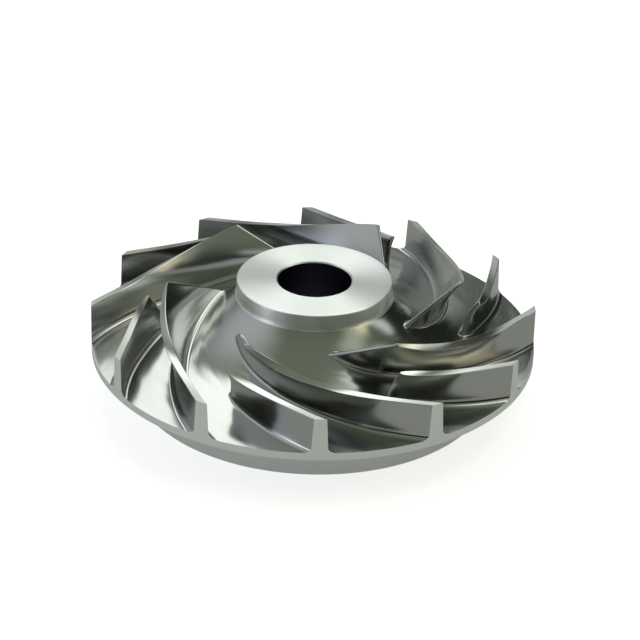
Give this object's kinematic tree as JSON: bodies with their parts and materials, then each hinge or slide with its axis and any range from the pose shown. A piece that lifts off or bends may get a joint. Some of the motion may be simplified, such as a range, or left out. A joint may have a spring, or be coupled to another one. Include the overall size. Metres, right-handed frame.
{
  "type": "centrifugal blower impeller",
  "caption": "Semi-open centrifugal blower impeller with backswept full and splitter blades, a plain bored nose, a thin rim disc and a stepped round back boss.",
  "frame": {"origin": "middle of the flat back face, on the shaft axis", "axes": "+Z along the shaft axis from the back face towards the nose; +X lies 2.46 degrees short of the tip of one full blade"},
  "size_m": [0.3, 0.3, 0.0798],
  "materials": {
    "milled_aluminium": "bright milled flow surfaces, satin turned nose, rim and back"
  },
  "bodies": {
    "root": {"impeller": "milled_aluminium"}
  },
  "joints": []
}
